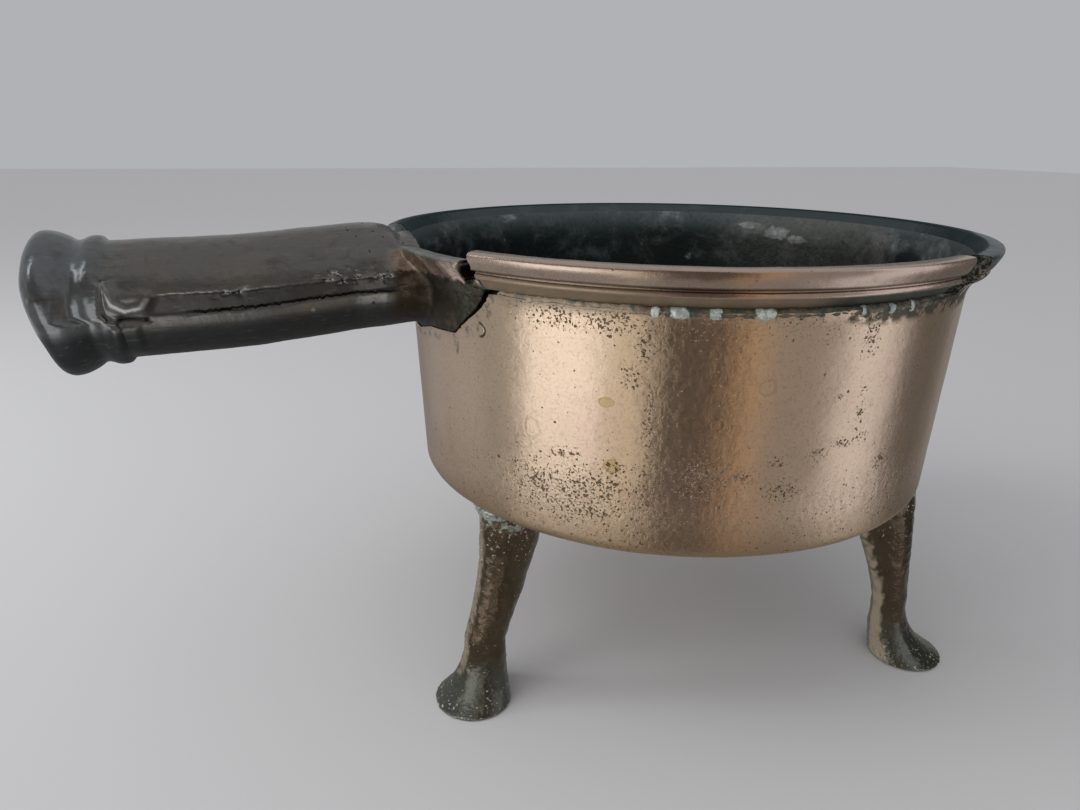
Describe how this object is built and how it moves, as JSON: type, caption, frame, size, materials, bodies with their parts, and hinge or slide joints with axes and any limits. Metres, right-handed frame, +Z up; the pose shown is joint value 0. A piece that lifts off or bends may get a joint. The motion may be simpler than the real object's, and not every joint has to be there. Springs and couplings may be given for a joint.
{
  "type": "three-legged skillet",
  "caption": "Cast-bronze skillet: a round bowl with a flared moulded lip on splayed legs, and a short thick handle with ring and closed knob. The lip is broken and soldered.",
  "frame": {"origin": "on the floor that the feet stand on, under the middle of the whole object", "axes": "+X from the knob of the handle toward the bowl, +Z up out of the bowl's mouth"},
  "size_m": [0.2686, 0.182, 0.1369],
  "materials": {
    "polished_bronze": "old polish with fine dark pits",
    "dark_bronze": "dark grey-brown patina, semi-gloss",
    "rough_bronze": "rough casting with pale crust",
    "braze": "crusted, with pale green corrosion",
    "solder": "dull grey, corroded"
  },
  "bodies": {
    "root": {"bowl": "polished_bronze", "handle": "dark_bronze", "leg_back": "rough_bronze", "leg_near_handle": "rough_bronze", "leg_right": "rough_bronze", "leg_solder_back": "braze", "leg_solder_near_handle": "braze", "leg_solder_right": "braze", "rim_segment": "polished_bronze", "rim_solder": "solder"}
  },
  "joints": []
}
